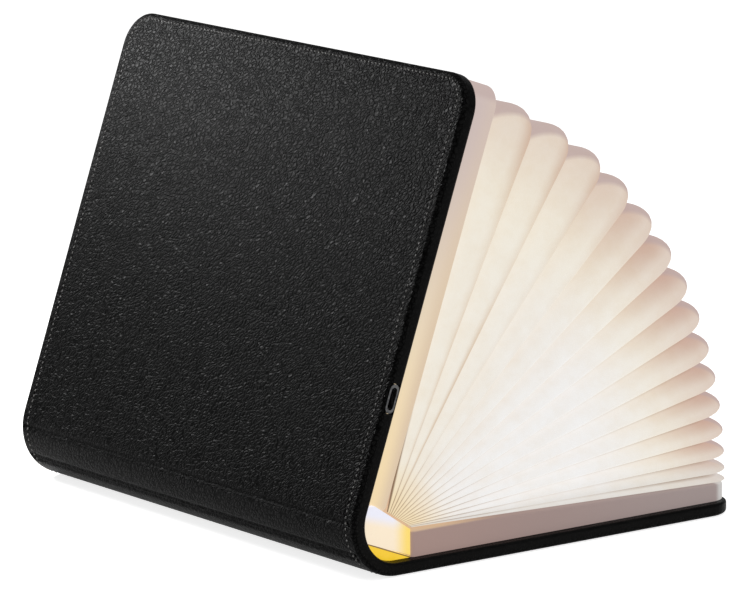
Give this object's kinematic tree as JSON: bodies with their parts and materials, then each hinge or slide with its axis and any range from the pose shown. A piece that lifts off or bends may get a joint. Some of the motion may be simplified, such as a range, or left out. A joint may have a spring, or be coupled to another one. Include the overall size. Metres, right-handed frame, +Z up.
{
  "type": "folding book lamp",
  "caption": "Hard-cover book that opens on one spine axis; its pages are a paper bellows lit by a strip in the spine, charged at a port in the cover's edge.",
  "frame": {"origin": "middle of the back cover's flat underside, which lies on the table", "axes": "+Z up, +Y along the spine away from the end with the charging port, +X from the spine toward the back cover's fore edge"},
  "size_m": [0.1772, 0.21, 0.1748],
  "materials": {
    "leather": "fine black grain",
    "board": "grey board",
    "liner": "matte black lining",
    "lit_paper": "water-resistant paper, lit from inside",
    "wall_paper": "stiff paper over a thin shell",
    "battery_foil": "foil pouch",
    "magnet_steel": "plated",
    "diffuser": "milky, lit",
    "carrier_metal": "plain extrusion",
    "circuit": "solder mask",
    "light_strip": "phosphor-coated, lit",
    "black_plastic": "moulded",
    "port_steel": "bare"
  },
  "bodies": {
    "back_cover": {"back_cover_leather": "leather", "back_cover_board": "board", "back_cover_liner": "liner", "back_page_wall": "wall_paper", "battery_near": "battery_foil", "battery_far": "battery_foil", "back_magnet_near": "magnet_steel", "back_magnet_far": "magnet_steel", "core_sleeve": "diffuser", "core_cap_near": "diffuser", "core_cap_far": "diffuser", "core_base": "liner", "led_carrier": "carrier_metal", "led_board": "circuit", "led_strip": "light_strip", "spine_leather": "leather", "spine_filler": "board", "spine_lining": "liner"},
    "front_cover": {"front_cover_leather": "leather", "front_cover_board": "board", "front_cover_liner": "liner", "front_page_wall": "wall_paper", "front_magnet_near": "magnet_steel", "front_magnet_far": "magnet_steel", "charge_board": "circuit", "charge_chip": "black_plastic", "lid_sensor": "black_plastic", "usb_shell": "port_steel", "usb_tongue": "black_plastic", "port_bezel": "port_steel"},
    "fold_01": {"page_fold_01": "lit_paper"},
    "fold_02": {"page_fold_02": "lit_paper"},
    "fold_03": {"page_fold_03": "lit_paper"},
    "fold_04": {"page_fold_04": "lit_paper"},
    "fold_05": {"page_fold_05": "lit_paper"},
    "fold_06": {"page_fold_06": "lit_paper"},
    "fold_07": {"page_fold_07": "lit_paper"},
    "fold_08": {"page_fold_08": "lit_paper"},
    "fold_09": {"page_fold_09": "lit_paper"},
    "fold_10": {"page_fold_10": "lit_paper"},
    "fold_11": {"page_fold_11": "lit_paper"},
    "fold_12": {"page_fold_12": "lit_paper"},
    "fold_13": {"page_fold_13": "lit_paper"},
    "fold_14": {"page_fold_14": "lit_paper"},
    "fold_15": {"page_fold_15": "lit_paper"}
  },
  "joints": [
    {"name": "cover_fold", "type": "hinge", "parent": "back_cover", "child": "front_cover", "pos_m": [-0.08675, 0, 0.0155], "axis": [0, -1, 0], "range_deg": [-70.7, 169.3], "deforming": ["spine_leather", "spine_filler", "spine_lining", "page_fold_01", "page_fold_02", "page_fold_03", "page_fold_04", "page_fold_05", "page_fold_06", "page_fold_07", "page_fold_08", "page_fold_09", "page_fold_10", "page_fold_11", "page_fold_12", "page_fold_13", "page_fold_14", "page_fold_15"]},
    {"name": "fold_01_turn", "type": "hinge", "parent": "back_cover", "child": "fold_01", "pos_m": [-0.08675, 0, 0.0155], "axis": [0, -1, 0], "range_deg": [-0.81, 1.23]},
    {"name": "fold_02_turn", "type": "hinge", "parent": "back_cover", "child": "fold_02", "pos_m": [-0.08675, 0, 0.0155], "axis": [0, -1, 0], "range_deg": [-2.28, 4.75]},
    {"name": "fold_03_turn", "type": "hinge", "parent": "back_cover", "child": "fold_03", "pos_m": [-0.08675, 0, 0.0155], "axis": [0, -1, 0], "range_deg": [-4.52, 10.13]},
    {"name": "fold_04_turn", "type": "hinge", "parent": "back_cover", "child": "fold_04", "pos_m": [-0.08675, 0, 0.0155], "axis": [0, -1, 0], "range_deg": [-7.39, 17]},
    {"name": "fold_05_turn", "type": "hinge", "parent": "back_cover", "child": "fold_05", "pos_m": [-0.08675, 0, 0.0155], "axis": [0, -1, 0], "range_deg": [-10.8, 25.16]},
    {"name": "fold_06_turn", "type": "hinge", "parent": "back_cover", "child": "fold_06", "pos_m": [-0.08675, 0, 0.0155], "axis": [0, -1, 0], "range_deg": [-14.7, 34.5]},
    {"name": "fold_07_turn", "type": "hinge", "parent": "back_cover", "child": "fold_07", "pos_m": [-0.08675, 0, 0.0155], "axis": [0, -1, 0], "range_deg": [-19.05, 44.92]},
    {"name": "fold_08_turn", "type": "hinge", "parent": "back_cover", "child": "fold_08", "pos_m": [-0.08675, 0, 0.0155], "axis": [0, -1, 0], "range_deg": [-23.82, 56.35]},
    {"name": "fold_09_turn", "type": "hinge", "parent": "back_cover", "child": "fold_09", "pos_m": [-0.08675, 0, 0.0155], "axis": [0, -1, 0], "range_deg": [-28.99, 68.73]},
    {"name": "fold_10_turn", "type": "hinge", "parent": "back_cover", "child": "fold_10", "pos_m": [-0.08675, 0, 0.0155], "axis": [0, -1, 0], "range_deg": [-34.54, 82.02]},
    {"name": "fold_11_turn", "type": "hinge", "parent": "back_cover", "child": "fold_11", "pos_m": [-0.08675, 0, 0.0155], "axis": [0, -1, 0], "range_deg": [-40.46, 96.18]},
    {"name": "fold_12_turn", "type": "hinge", "parent": "back_cover", "child": "fold_12", "pos_m": [-0.08675, 0, 0.0155], "axis": [0, -1, 0], "range_deg": [-46.72, 111.17]},
    {"name": "fold_13_turn", "type": "hinge", "parent": "back_cover", "child": "fold_13", "pos_m": [-0.08675, 0, 0.0155], "axis": [0, -1, 0], "range_deg": [-53.31, 126.96]},
    {"name": "fold_14_turn", "type": "hinge", "parent": "back_cover", "child": "fold_14", "pos_m": [-0.08675, 0, 0.0155], "axis": [0, -1, 0], "range_deg": [-60.23, 143.54]},
    {"name": "fold_15_turn", "type": "hinge", "parent": "back_cover", "child": "fold_15", "pos_m": [-0.08675, 0, 0.0155], "axis": [0, -1, 0], "range_deg": [-67.47, 160.86]}
  ],
  "couplings": [
    {"joint": "fold_01_turn", "follows": "cover_fold", "ratio": 0.00433},
    {"joint": "fold_02_turn", "follows": "cover_fold", "ratio": 0.02512},
    {"joint": "fold_03_turn", "follows": "cover_fold", "ratio": 0.05688},
    {"joint": "fold_04_turn", "follows": "cover_fold", "ratio": 0.09745},
    {"joint": "fold_05_turn", "follows": "cover_fold", "ratio": 0.14568},
    {"joint": "fold_06_turn", "follows": "cover_fold", "ratio": 0.20083},
    {"joint": "fold_07_turn", "follows": "cover_fold", "ratio": 0.26237},
    {"joint": "fold_08_turn", "follows": "cover_fold", "ratio": 0.32988},
    {"joint": "fold_09_turn", "follows": "cover_fold", "ratio": 0.40302},
    {"joint": "fold_10_turn", "follows": "cover_fold", "ratio": 0.48152},
    {"joint": "fold_11_turn", "follows": "cover_fold", "ratio": 0.56514},
    {"joint": "fold_12_turn", "follows": "cover_fold", "ratio": 0.65369},
    {"joint": "fold_13_turn", "follows": "cover_fold", "ratio": 0.74698},
    {"joint": "fold_14_turn", "follows": "cover_fold", "ratio": 0.84487},
    {"joint": "fold_15_turn", "follows": "cover_fold", "ratio": 0.9472}
  ]
}
